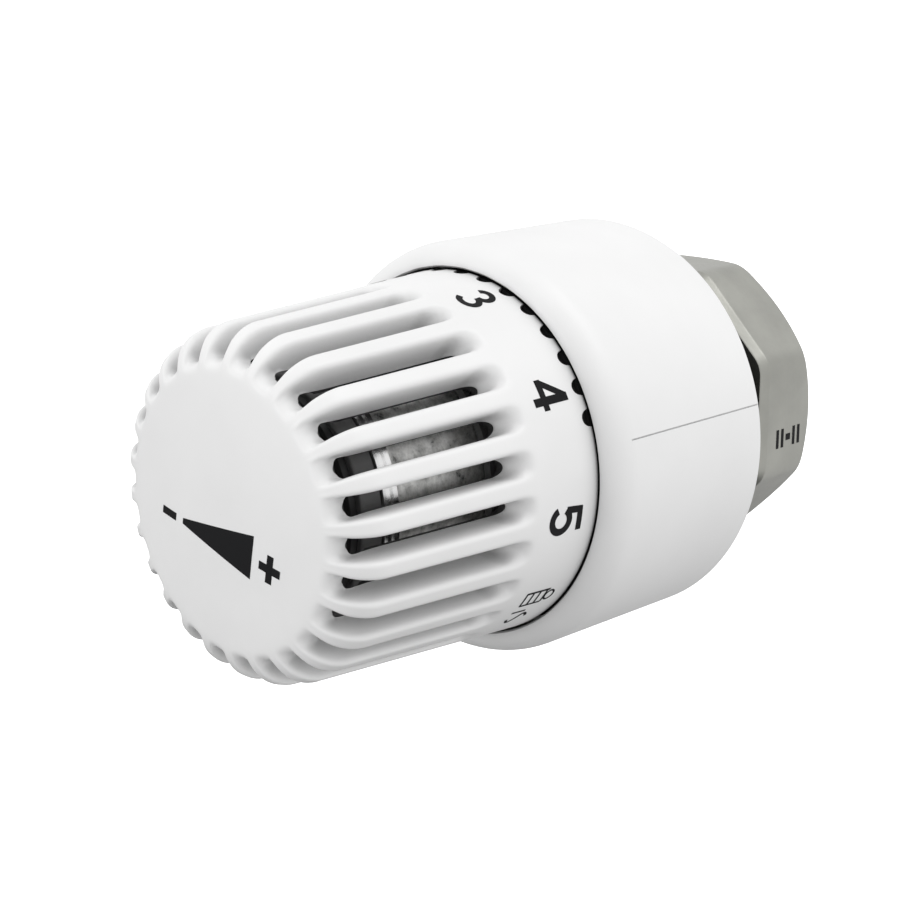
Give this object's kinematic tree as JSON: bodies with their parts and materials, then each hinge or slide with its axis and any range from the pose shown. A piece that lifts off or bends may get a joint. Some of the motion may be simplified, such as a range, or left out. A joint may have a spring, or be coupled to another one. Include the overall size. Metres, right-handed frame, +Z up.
{
  "type": "thermostatic radiator valve head",
  "caption": "Round white thermostatic head with a ribbed, slotted handwheel, plain collar, sliding liquid sensor and an octagonal M30 union nut.",
  "frame": {"origin": "centre of the union nut's open mouth, on the head's axis", "axes": "+X along the axis, out of the nut's mouth towards the valve body; the handwheel's face looks along -X; +Z up, through the side flats of the nut"},
  "size_m": [0.0883, 0.053, 0.053],
  "materials": {
    "white_plastic": "satin white ABS",
    "base_plastic": "matt off-white glass-filled plastic",
    "black_plastic": "matt black",
    "grey_plastic": "matt dark grey",
    "nut_nickel": "satin nickel plate",
    "bright_metal": "bright rolled metal",
    "can_metal": "mottled drawn aluminium",
    "spring_steel": "drawn spring steel",
    "brass": "turned brass",
    "bronze_foil": "thin phosphor bronze"
  },
  "bodies": {
    "base": {"base_body": "base_plastic", "collar_sleeve": "white_plastic", "guide_bush": "brass", "limit_clips": "black_plastic", "snap_ring": "spring_steel", "wheel_retaining_ring": "grey_plastic"},
    "nut": {"union_nut": "nut_nickel"},
    "wheel": {"handwheel": "white_plastic", "drive_sleeve": "grey_plastic", "limit_ring": "black_plastic"},
    "sensor": {"sensor_carrier": "grey_plastic", "sensor_clip_ring": "spring_steel", "sensor_can": "can_metal", "filler_plug": "brass", "crimp_ring": "bright_metal", "seal_band": "grey_plastic", "sensor_front_cap": "black_plastic", "bellows": "bronze_foil"},
    "ram": {"sensor_ram": "spring_steel", "spring_cup": "spring_steel", "pin_circlip": "spring_steel"},
    "pin": {"pressure_pin": "brass", "overtravel_spring": "spring_steel"}
  },
  "joints": [
    {"name": "wheel_turn", "type": "hinge", "parent": "base", "child": "wheel", "pos_m": [-0.07, 0, 0], "axis": [1, 0, 0], "range_deg": [-115.5, 115.5]},
    {"name": "sensor_slide", "type": "slide", "parent": "base", "child": "sensor", "axis": [1, 0, 0], "range_m": [-0.00258, 0.00258]},
    {"name": "ram_slide", "type": "slide", "parent": "sensor", "child": "ram", "axis": [1, 0, 0], "range_m": [0, 0.0025], "stiffness_N_per_m": 2000, "deforming": ["bellows"]},
    {"name": "pin_overtravel", "type": "slide", "parent": "ram", "child": "pin", "axis": [1, 0, 0], "range_m": [-0.003, 0], "stiffness_N_per_m": 8000, "springref_m": 0.004, "deforming": ["overtravel_spring"]},
    {"name": "nut_spin", "type": "hinge", "parent": "base", "child": "nut", "pos_m": [0, 0, 0], "axis": [1, 0, 0], "continuous": true}
  ],
  "couplings": [
    {"joint": "sensor_slide", "follows": "wheel_turn", "m_per_rad": 0.0012732}
  ]
}
